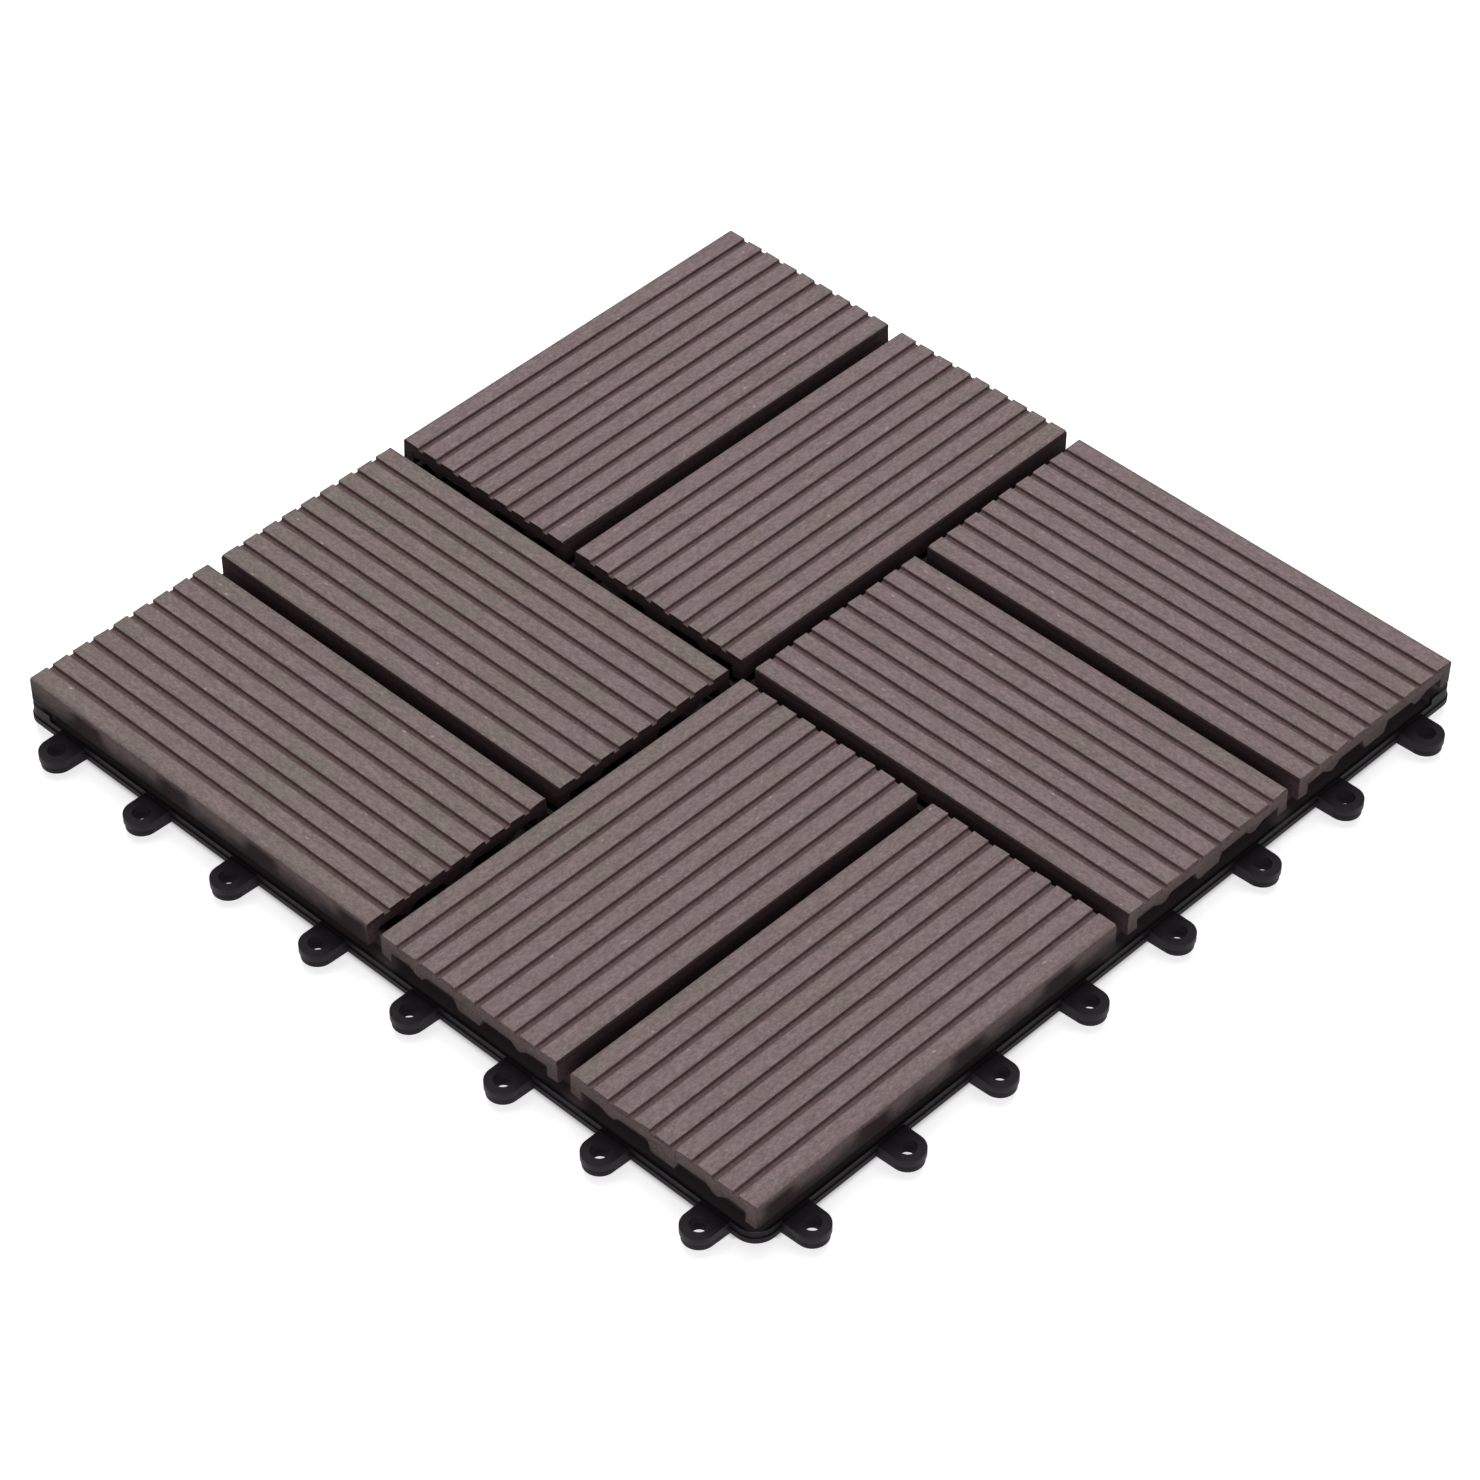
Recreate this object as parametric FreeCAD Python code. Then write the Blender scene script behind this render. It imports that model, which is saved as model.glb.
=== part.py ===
"""Interlocking deck tile: eight grooved composite boards in a basket weave on one moulded base.

The frame has +Z up. The origin lies on the ground under the middle of the 300 mm module, below
the central foot of the base. The loops point to -Y and +X, the pegs hang on the -X and +Y sides.
All sizes are in millimetres.
"""

import FreeCAD
import Part
import os

from FreeCAD import Vector

# Boards, sawn from one extruded profile
BOARD_WIDTH = 70.0
BOARD_THICKNESS = 8.4
JOINT = 5.0
TOP_EDGE_RADIUS = 1.0
GROOVES = 8
GROOVE_WIDTH = 2.1
GROOVE_DEPTH = 1.1
EDGE_STRIP = 6.65

# Underside of the board profile: two legs, a centre rib for the screws and two short ribs
WEB = 4.7
LEG_WIDTH = 4.25
CENTRE_RIB_WIDTH = 8.8
CENTRE_RIB_FLARE = 1.6
SHORT_RIB_FROM_LEG = 11.15
SHORT_RIB_WIDTH = 2.0
SHORT_RIB_LIFT = 1.7
SHORT_RIB_INNER_FLARE = 2.1
SHORT_RIB_OUTER_FLARE = 3.4

# Base moulding, heights
FOOT_HEIGHT = 3.3
BASE_DEPTH = 10.3
FLANGE_HEIGHT = 4.2
LIP_HEIGHT = 2.0
LIP = 0.4

# Base moulding, walls
WALL = 2.0
RIB = 1.8
SKIN = 1.8
RIB_BAYS = 12
FRONT_CORNER_RADIUS = 7.0
SIDE_CORNER_RADIUS = 5.0
FOOT_WIDTH = 9.0
FOOT_ROOT = 1.8
FEET_PER_ROW = 5
RIBS_PER_FOOT = 2

# Base moulding, loops of the two female sides
LOOPS_PER_SIDE = 8
LOOP_WIDTH = 10.9
LOOP_HOLE_DIAMETER = 5.6
LOOP_HOLE_OUT = 5.85
LOOP_THICKNESS = 4.9
LOOP_DROP = 1.1

# Base moulding, pegs and pockets of the two male sides
PEG_LENGTH = 4.0
ROOF = 2.1

# Base moulding, floors of the cells where a small screw is driven up into a board's centre rib
SEAT_FLOOR = 3.0

# Clearances between pieces and between neighbouring tiles
FLANGE_INSET = 0.75
NEIGHBOUR_GAP = 0.95
LOOP_TIP_CLEARANCE = 0.45
LOOP_SIDE_CLEARANCE = 0.75
LOOP_ROOF_CLEARANCE = 0.4
PEG_CLEARANCE = 0.25

# Values that follow from the ones above
BOARD_LENGTH = 2 * BOARD_WIDTH + JOINT
MODULE = 2 * (BOARD_LENGTH + JOINT)
GROOVE_PITCH = (BOARD_WIDTH - 2 * EDGE_STRIP - GROOVE_WIDTH) / (GROOVES - 1)
PITCH = MODULE / LOOPS_PER_SIDE
RIB_PITCH = MODULE / RIB_BAYS
FIELD = BOARD_LENGTH + JOINT / 2
FEMALE_FACE = FIELD - FLANGE_INSET
MALE_FACE = MODULE - FEMALE_FACE - NEIGHBOUR_GAP
LOOP_CENTRE = FEMALE_FACE + LOOP_HOLE_OUT
LOOP_REACH = LOOP_CENTRE + LOOP_WIDTH / 2
WALL_FACE = MODULE - LOOP_REACH - LOOP_TIP_CLEARANCE
PEG_CENTRE = MODULE - LOOP_CENTRE
PEG_DIAMETER = LOOP_HOLE_DIAMETER - 2 * PEG_CLEARANCE
POCKET_WIDTH = LOOP_WIDTH + 2 * LOOP_SIDE_CLEARANCE
FLANGE_BOTTOM = FOOT_HEIGHT
FLANGE_TOP = FLANGE_BOTTOM + FLANGE_HEIGHT
LOOP_BOTTOM = FLANGE_BOTTOM - LOOP_DROP
LOOP_TOP = LOOP_BOTTOM + LOOP_THICKNESS
POCKET_ROOF = LOOP_TOP + LOOP_ROOF_CLEARANCE
MALE_TOP = POCKET_ROOF + ROOF
BASE_TOP = FLANGE_BOTTOM + BASE_DEPTH
SCREW_SEAT = BASE_TOP - SEAT_FLOOR
FOOT_PITCH = RIBS_PER_FOOT * RIB_PITCH
STATIONS = [PITCH * (i - (LOOPS_PER_SIDE - 1) / 2) for i in range(LOOPS_PER_SIDE)]
BOARD_LINES = [BOARD_WIDTH / 2 + JOINT / 2, BOARD_WIDTH * 3 / 2 + JOINT * 3 / 2]
SCREW_LINES = [-BOARD_LINES[1], -BOARD_LINES[0], BOARD_LINES[0], BOARD_LINES[1]]


def lines(points):
    """Return the straight edges that join the points in order."""
    return [Part.makeLine(a, b) for a, b in zip(points, points[1:])]


def quarter(start, corner, end):
    """Return the quarter circle from start to end that rounds the corner between them."""
    centre = start + end - corner
    middle = centre + (corner - centre).normalize() * (start - centre).Length
    return Part.Arc(start, middle, end).toShape()


def box(x0, x1, y0, y1, z0, z1):
    """Return the block between the given planes."""
    return Part.makeBox(x1 - x0, y1 - y0, z1 - z0, Vector(x0, y0, z0))


def rod(diameter, x, y, z0, z1):
    """Return an upright round bar."""
    return Part.makeCylinder(diameter / 2, z1 - z0, Vector(x, y, z0))


def turned(shape, quarters):
    """Return a copy of the shape turned by quarter turns about the tile's vertical axis."""
    copy = shape.copy()
    copy.rotate(Vector(0, 0, 0), Vector(0, 0, 1), 90 * quarters)
    return copy


def flange_plate(inset, z0, z1):
    """Return a plate with the plan of the flange, drawn in by inset, between two heights."""
    out = MALE_FACE - inset
    near = FEMALE_FACE - inset
    corners = [
        (Vector(near, -near, z0), FRONT_CORNER_RADIUS - inset),
        (Vector(near, out, z0), SIDE_CORNER_RADIUS - inset),
        (Vector(-out, out, z0), SIDE_CORNER_RADIUS - inset),
        (Vector(-out, -near, z0), SIDE_CORNER_RADIUS - inset),
    ]
    edges = []
    last = None
    first = None
    for i, (corner, radius) in enumerate(corners):
        before = corners[i - 1][0]
        after = corners[(i + 1) % len(corners)][0]
        start = corner + (before - corner).normalize() * radius
        end = corner + (after - corner).normalize() * radius
        if last is None:
            first = start
        else:
            edges.append(Part.makeLine(last, start))
        edges.append(quarter(start, corner, end))
        last = end
    edges.append(Part.makeLine(last, first))
    return Part.Face(Part.Wire(edges)).extrude(Vector(0, 0, z1 - z0))


def loop_tab():
    """Return one loop without its hole: a tab towards -Y with a round end about its hole's centre."""
    r = LOOP_WIDTH / 2
    left = Vector(-r, -LOOP_CENTRE, LOOP_BOTTOM)
    right = Vector(r, -LOOP_CENTRE, LOOP_BOTTOM)
    tip = Vector(0, -LOOP_REACH, LOOP_BOTTOM)
    root_left = Vector(-r, -WALL_FACE, LOOP_BOTTOM)
    root_right = Vector(r, -WALL_FACE, LOOP_BOTTOM)
    edges = lines([left, root_left, root_right, right])
    edges.append(Part.Arc(right, tip, left).toShape())
    return Part.Face(Part.Wire(edges)).extrude(Vector(0, 0, LOOP_THICKNESS))


def female_side():
    """Return (solids to add, solids to cut) of the loop side that faces -Y."""
    loop = loop_tab()
    added = []
    removed = []
    for x in STATIONS:
        copy = loop.copy()
        copy.translate(Vector(x, 0, 0))
        added.append(copy)
        removed.append(rod(LOOP_HOLE_DIAMETER, x, -LOOP_CENTRE, 0, BASE_TOP))
    # the flange is cored from below between the roots of the loops
    reach = (PITCH - LOOP_WIDTH) / 2
    for x in [s + PITCH / 2 for s in STATIONS[:-1]]:
        core = box(x - reach, x + reach, -FEMALE_FACE + SKIN + LIP, -WALL_FACE, 0, FLANGE_TOP - SKIN)
        removed.append(core)
    return added, removed


def male_side():
    """Return (solids to add, solids to cut) of the peg side that faces -X."""
    added = []
    removed = []
    tip = POCKET_ROOF - PEG_LENGTH
    for y in STATIONS:
        half = POCKET_WIDTH / 2
        removed.append(box(-MODULE, -WALL_FACE, y - half, y + half, 0, POCKET_ROOF))
        added.append(rod(PEG_DIAMETER, -PEG_CENTRE, y, tip, MALE_TOP))
    # between the pockets the flange is cored from below, leaving a rib on each side of a pocket
    reach = (PITCH - POCKET_WIDTH) / 2 - RIB
    for y in [s + PITCH / 2 for s in STATIONS[:-1]]:
        removed.append(box(-MALE_FACE + SKIN + LIP, -WALL_FACE, y - reach, y + reach, 0, POCKET_ROOF))
    return added, removed


def lattice_cells():
    """Return the hollows between the ribs: open cells, and cells that keep a floor under a screw."""
    inside = WALL_FACE - WALL
    count = int(inside // RIB_PITCH)
    ribs = [RIB_PITCH * i for i in range(-count, count + 1)]
    starts = [-inside] + [r + RIB / 2 for r in ribs]
    ends = [r - RIB / 2 for r in ribs] + [inside]
    spans = list(zip(starts, ends))
    cells = []
    for x0, x1 in spans:
        for y0, y1 in spans:
            over_x = [s for s in SCREW_LINES if x0 < s < x1]
            over_y = [s for s in SCREW_LINES if y0 < s < y1]
            top = SCREW_SEAT if over_x and over_y else MODULE
            cells.append(box(x0, x1, y0, y1, 0, top))
    return cells


def feet():
    """Return the square feet at every second crossing of the ribs, one of them under the origin."""
    half = FOOT_WIDTH / 2
    top = FLANGE_BOTTOM + FOOT_ROOT
    rows = [FOOT_PITCH * (i - (FEET_PER_ROW - 1) / 2) for i in range(FEET_PER_ROW)]
    return [box(x - half, x + half, y - half, y + half, 0, top) for x in rows for y in rows]


def base_grid():
    """Return the base, one moulding: walls, ribs, feet, screw seats, loops, pegs and pockets."""
    block = box(-WALL_FACE, WALL_FACE, -WALL_FACE, WALL_FACE, FLANGE_BOTTOM, BASE_TOP)
    lip = flange_plate(0, FLANGE_BOTTOM, FLANGE_BOTTOM + LIP_HEIGHT)
    flange = flange_plate(LIP, FLANGE_BOTTOM, FLANGE_TOP)
    roof = flange_plate(LIP, FLANGE_TOP, MALE_TOP)
    roof = roof.cut(box(-WALL_FACE, MODULE, -MODULE, WALL_FACE, 0, BASE_TOP))
    body = block.fuse([lip, flange, roof])
    female_add, female_cut = female_side()
    male_add, male_cut = male_side()
    male_cut += [turned(s, -1) for s in male_cut]
    female_cut += [turned(s, 1) for s in female_cut]
    body = body.cut(lattice_cells() + male_cut)
    body = body.fuse(female_add + [turned(s, 1) for s in female_add])
    body = body.cut(female_cut)
    body = body.fuse(male_add + [turned(s, -1) for s in male_add] + feet())
    return body.removeSplitter()


def board_profile():
    """Return the face of the board's section, across X, with its legs standing on z = 0."""
    half = BOARD_WIDTH / 2
    ceiling = BOARD_THICKNESS - WEB
    top = BOARD_THICKNESS
    leg = half - LEG_WIDTH
    rib = CENTRE_RIB_WIDTH / 2
    near = leg - SHORT_RIB_FROM_LEG - SHORT_RIB_WIDTH / 2
    far = near + SHORT_RIB_WIDTH
    under = [
        Vector(rib, 0, 0),
        Vector(rib + CENTRE_RIB_FLARE, 0, ceiling),
        Vector(near - SHORT_RIB_INNER_FLARE, 0, ceiling),
        Vector(near, 0, SHORT_RIB_LIFT),
        Vector(far, 0, SHORT_RIB_LIFT),
        Vector(far + SHORT_RIB_OUTER_FLARE, 0, ceiling),
        Vector(leg, 0, ceiling),
        Vector(leg, 0, 0),
        Vector(half, 0, 0),
        Vector(half, 0, top - TOP_EDGE_RADIUS),
    ]
    edges = lines([Vector(-rib, 0, 0)] + under)
    over = [Vector(half - TOP_EDGE_RADIUS, 0, top)]
    edges.append(quarter(under[-1], Vector(half, 0, top), over[0]))
    for i in reversed(range(GROOVES // 2, GROOVES)):
        centre = GROOVE_PITCH * (i - (GROOVES - 1) / 2)
        inner = centre - GROOVE_WIDTH / 2
        outer = centre + GROOVE_WIDTH / 2
        over.append(Vector(outer, 0, top))
        over.append(Vector(outer, 0, top - GROOVE_DEPTH))
        over.append(Vector(inner, 0, top - GROOVE_DEPTH))
        over.append(Vector(inner, 0, top))
    edges += lines(over)
    edges += lines([over[-1], Vector(-over[-1].x, 0, top)])
    mirrored = [e.mirror(Vector(0, 0, 0), Vector(1, 0, 0)) for e in edges[1:-1]]
    return Part.Face(Part.Wire(Part.__sortEdges__(edges + mirrored)))


def board():
    """Return one board along Y, centred on the origin, standing on z = 0."""
    section = board_profile()
    section.translate(Vector(0, -BOARD_LENGTH / 2, 0))
    return section.extrude(Vector(0, BOARD_LENGTH, 0))


def placed_boards():
    """Return {name: solid} of the eight boards, two to a quarter of the tile."""
    middle = (BOARD_LENGTH + JOINT) / 2
    piece = board()
    piece.translate(Vector(0, 0, BASE_TOP))
    boards = {}
    for quarters, name in enumerate(("front_right", "back_right", "back_left", "front_left")):
        for i, line in enumerate(BOARD_LINES):
            copy = piece.copy()
            copy.translate(Vector(line, -middle, 0))
            boards[f"board_{name}_{i + 1}"] = turned(copy, quarters)
    return boards


def main():
    """Build every piece, report its volume and write it to parts/."""
    os.makedirs("parts", exist_ok=True)
    nodes = {"base_grid": base_grid()}
    nodes.update(placed_boards())
    for name, shape in nodes.items():
        if not shape.isValid():
            raise ValueError(f"{name} is not a valid shape")
        shape.exportStep(f"parts/{name}.step")
        print(name, len(shape.Solids), "solids", round(shape.Volume / 1000, 3), "cm3")


main()
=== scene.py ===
"""Dress the interlocking deck tile: brushed composite boards, moulded grid base and its screws.

Every length is in metres unless its name ends in _mm. The place of each piece comes from the
loaded frame, in which +Z is up and the ground is z = 0.
"""

import logging
import math
import random
from dataclasses import dataclass
from enum import Enum
from typing import Any, Callable, Sequence, Union

import bmesh
import bpy
from mathutils import Matrix, Vector

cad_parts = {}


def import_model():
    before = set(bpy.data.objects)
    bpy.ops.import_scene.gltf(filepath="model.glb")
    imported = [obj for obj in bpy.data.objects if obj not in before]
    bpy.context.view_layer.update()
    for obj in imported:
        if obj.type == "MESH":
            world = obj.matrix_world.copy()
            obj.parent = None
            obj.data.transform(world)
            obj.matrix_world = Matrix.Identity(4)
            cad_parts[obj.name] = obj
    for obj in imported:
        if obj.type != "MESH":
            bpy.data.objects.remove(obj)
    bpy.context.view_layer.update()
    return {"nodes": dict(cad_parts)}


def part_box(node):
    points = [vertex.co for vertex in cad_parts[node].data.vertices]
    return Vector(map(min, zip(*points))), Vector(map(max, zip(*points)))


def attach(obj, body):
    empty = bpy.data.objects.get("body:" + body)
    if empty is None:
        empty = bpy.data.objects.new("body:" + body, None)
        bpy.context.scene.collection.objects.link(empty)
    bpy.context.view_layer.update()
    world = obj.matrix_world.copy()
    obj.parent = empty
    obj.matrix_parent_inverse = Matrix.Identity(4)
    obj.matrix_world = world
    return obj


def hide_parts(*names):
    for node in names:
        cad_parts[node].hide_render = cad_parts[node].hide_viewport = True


LOG = logging.getLogger("deck_tile")
MM = 0.001
BODY = "root"
MERGE = 0.002 * MM
PLANE_SNAP = 0.001 * MM
LEVEL_SNAP = 0.01 * MM
FLAT_DEG = 0.5
SHARP_DEG = 35
SMOOTH_DEG = 32


class Grain(Enum):
    """Direction in which a board was extruded and brushed."""

    ALONG_X = "along_x"
    ALONG_Y = "along_y"


class Side(Enum):
    """Side of the tile that carries loops, with the outward direction of that side."""

    FRONT = (0.0, -1.0)
    RIGHT = (1.0, 0.0)

    @property
    def outward(self) -> Vector:
        """Return the direction that the side faces."""
        return Vector((*self.value, 0.0))

    @property
    def along(self) -> Vector:
        """Return the direction that runs along the side, with the tile on its left."""
        return Vector((-self.value[1], self.value[0], 0.0))


Colour = tuple[float, float, float, float]


def tone(red: float, green: float, blue: float) -> Colour:
    """Turn a colour given in screen steps of 0 to 255 into a linear colour.

    Args:
        red: Red step.
        green: Green step.
        blue: Blue step.

    Returns:
        Linear red, green, blue and an alpha of 1.
    """
    steps = [c / 255 for c in (red, green, blue)]
    linear = [c / 12.92 if c <= 0.04045 else ((c + 0.055) / 1.055) ** 2.4 for c in steps]
    return (linear[0], linear[1], linear[2], 1.0)


WHITE: Colour = (1.0, 1.0, 1.0, 1.0)


class Wire:
    """A node's output socket, with arithmetic that adds Math nodes."""

    def __init__(self, sheet: "Sheet", socket: bpy.types.NodeSocket) -> None:
        """Keep the socket and the sheet that its nodes are drawn on."""
        self.sheet = sheet
        self.socket = socket

    def __add__(self, other: "Value") -> "Wire":
        """Return the sum."""
        return self.sheet.math("ADD", self, other)

    def __radd__(self, other: "Value") -> "Wire":
        """Return the sum, with this wire on the right."""
        return self.sheet.math("ADD", other, self)

    def __sub__(self, other: "Value") -> "Wire":
        """Return the difference."""
        return self.sheet.math("SUBTRACT", self, other)

    def __rsub__(self, other: "Value") -> "Wire":
        """Return the difference, with this wire on the right."""
        return self.sheet.math("SUBTRACT", other, self)

    def __mul__(self, other: "Value") -> "Wire":
        """Return the product."""
        return self.sheet.math("MULTIPLY", self, other)

    def __rmul__(self, other: "Value") -> "Wire":
        """Return the product, with this wire on the right."""
        return self.sheet.math("MULTIPLY", other, self)

    def smooth(self, low: float, high: float) -> "Wire":
        """Rise smoothly from 0 at one value of this wire to 1 at another.

        Args:
            low: Value at which the result is 0.
            high: Value at which the result is 1.

        Returns:
            The smoothed step.
        """
        inputs = {"Value": self, "From Min": low, "From Max": high}
        return self.sheet.node("ShaderNodeMapRange", {"interpolation_type": "SMOOTHSTEP"}, inputs)

    def spread(self, low: float, high: float) -> "Wire":
        """Spread this wire's 0 to 1 over the range from low to high."""
        return self * (high - low) + low


Value = Union[Wire, float]
Inputs = dict[Union[str, int], Any]
Triple = Sequence[float]
EVEN: Triple = (1.0, 1.0, 1.0)
UNMOVED: Triple = (0.0, 0.0, 0.0)


class Sheet:
    """The node sheet of a material or of the world, with one method that adds any node."""

    def __init__(self, owner: Union[bpy.types.Material, bpy.types.World]) -> None:
        """Take over the owner's node tree and clear it."""
        owner.use_nodes = True
        self.tree = owner.node_tree
        self.tree.nodes.clear()

    def add(self, kind: str, settings: dict[str, Any], inputs: Inputs) -> bpy.types.Node:
        """Add a node.

        Args:
            kind: Blender's name of the node type.
            settings: Attributes, set before the sockets.
            inputs: Values or wires for its sockets, by name or number.

        Returns:
            The node.
        """
        made = self.tree.nodes.new(kind)
        for key, value in settings.items():
            setattr(made, key, value)
        for key, value in inputs.items():
            if isinstance(value, Wire):
                self.tree.links.new(value.socket, made.inputs[key])
            else:
                made.inputs[key].default_value = value
        return made

    def node(
        self, kind: str, settings: dict[str, Any], inputs: Inputs, output: Union[str, int] = 0
    ) -> Wire:
        """Add a node and return the wire that leaves one of its sockets.

        Args:
            kind: Blender's name of the node type.
            settings: Attributes, set before the sockets.
            inputs: Values or wires for its sockets, by name or number.
            output: Socket that the returned wire leaves from.

        Returns:
            The wire at the node's output.
        """
        return Wire(self, self.add(kind, settings, inputs).outputs[output])

    def math(self, operation: str, a: Value, b: Value = 0.0) -> Wire:
        """Add a Math node on two values."""
        return self.node("ShaderNodeMath", {"operation": operation}, {0: a, 1: b})

    def blend(self, amount: Value, first: Any, second: Any) -> Wire:
        """Mix two colours.

        Args:
            amount: Share of the second colour, from 0 to 1.
            first: Colour or wire at 0.
            second: Colour or wire at 1.

        Returns:
            The mixed colour.
        """
        settings = {"data_type": "RGBA", "clamp_factor": True}
        return self.node("ShaderNodeMix", settings, {0: amount, 6: first, 7: second}, output=2)

    def shade(self, colour: Any, amount: Value) -> Wire:
        """Make a colour lighter or darker by a factor."""
        factor = self.node("ShaderNodeCombineXYZ", {}, {0: amount, 1: amount, 2: amount})
        tint = colour if isinstance(colour, Wire) else colour[:3]
        return self.node("ShaderNodeVectorMath", {"operation": "MULTIPLY"}, {0: tint, 1: factor})

    def attribute(self, name: str, output: str = "Vector") -> Wire:
        """Return an attribute of the piece's mesh."""
        settings = {"attribute_type": "GEOMETRY", "attribute_name": name}
        return self.node("ShaderNodeAttribute", settings, {}, output)

    def mask(self, name: str) -> Wire:
        """Return a number that the piece's mesh carries as an attribute."""
        return self.attribute(name, "Fac")

    def part(self, vector: Wire, axis: int) -> Wire:
        """Return one component of a vector."""
        return self.node("ShaderNodeSeparateXYZ", {}, {0: vector}, output=axis)

    def grain(self, stretch: Triple = EVEN, shift: Triple = UNMOVED) -> Wire:
        """Return the place on a board in millimetres: across it, along it and up.

        Args:
            stretch: Factor on each direction; below 1 draws a pattern out along it.
            shift: Shift of the pattern in millimetres.

        Returns:
            The vector for a texture's Vector socket.
        """
        inputs = {"Vector": self.attribute("grain_place"), "Scale": stretch, "Location": shift}
        return self.node("ShaderNodeMapping", {}, inputs)

    def place(self) -> Wire:
        """Return the place on the object in millimetres."""
        where = self.node("ShaderNodeTexCoord", {}, {}, output="Object")
        return self.node("ShaderNodeMapping", {}, {"Vector": where, "Scale": [1 / MM] * 3})

    def noise(self, where: Wire, size_mm: float, detail: float = 2.0, rough: float = 0.5) -> Wire:
        """Return noise from 0 to 1 whose blotches are about size_mm across."""
        inputs = {"Vector": where, "Scale": 1 / size_mm, "Detail": detail, "Roughness": rough}
        return self.node("ShaderNodeTexNoise", {"noise_dimensions": "3D"}, inputs)

    def bump(self, level: Wire, depth_mm: float, strength: float = 1.0) -> Wire:
        """Return the normal of a surface raised by level times depth_mm."""
        inputs = {"Height": level, "Distance": depth_mm * MM, "Strength": strength}
        return self.node("ShaderNodeBump", {}, inputs)

    def ray(self, kind: str) -> Wire:
        """Return 1 for light paths of one kind and 0 for the others."""
        return self.node("ShaderNodeLightPath", {}, {}, output=f"Is {kind} Ray")

    def principled(self, inputs: Inputs) -> None:
        """Close a material's sheet with a Principled shader that has these inputs."""
        shader = self.node("ShaderNodeBsdfPrincipled", {}, inputs)
        self.add("ShaderNodeOutputMaterial", {}, {"Surface": shader})


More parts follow.
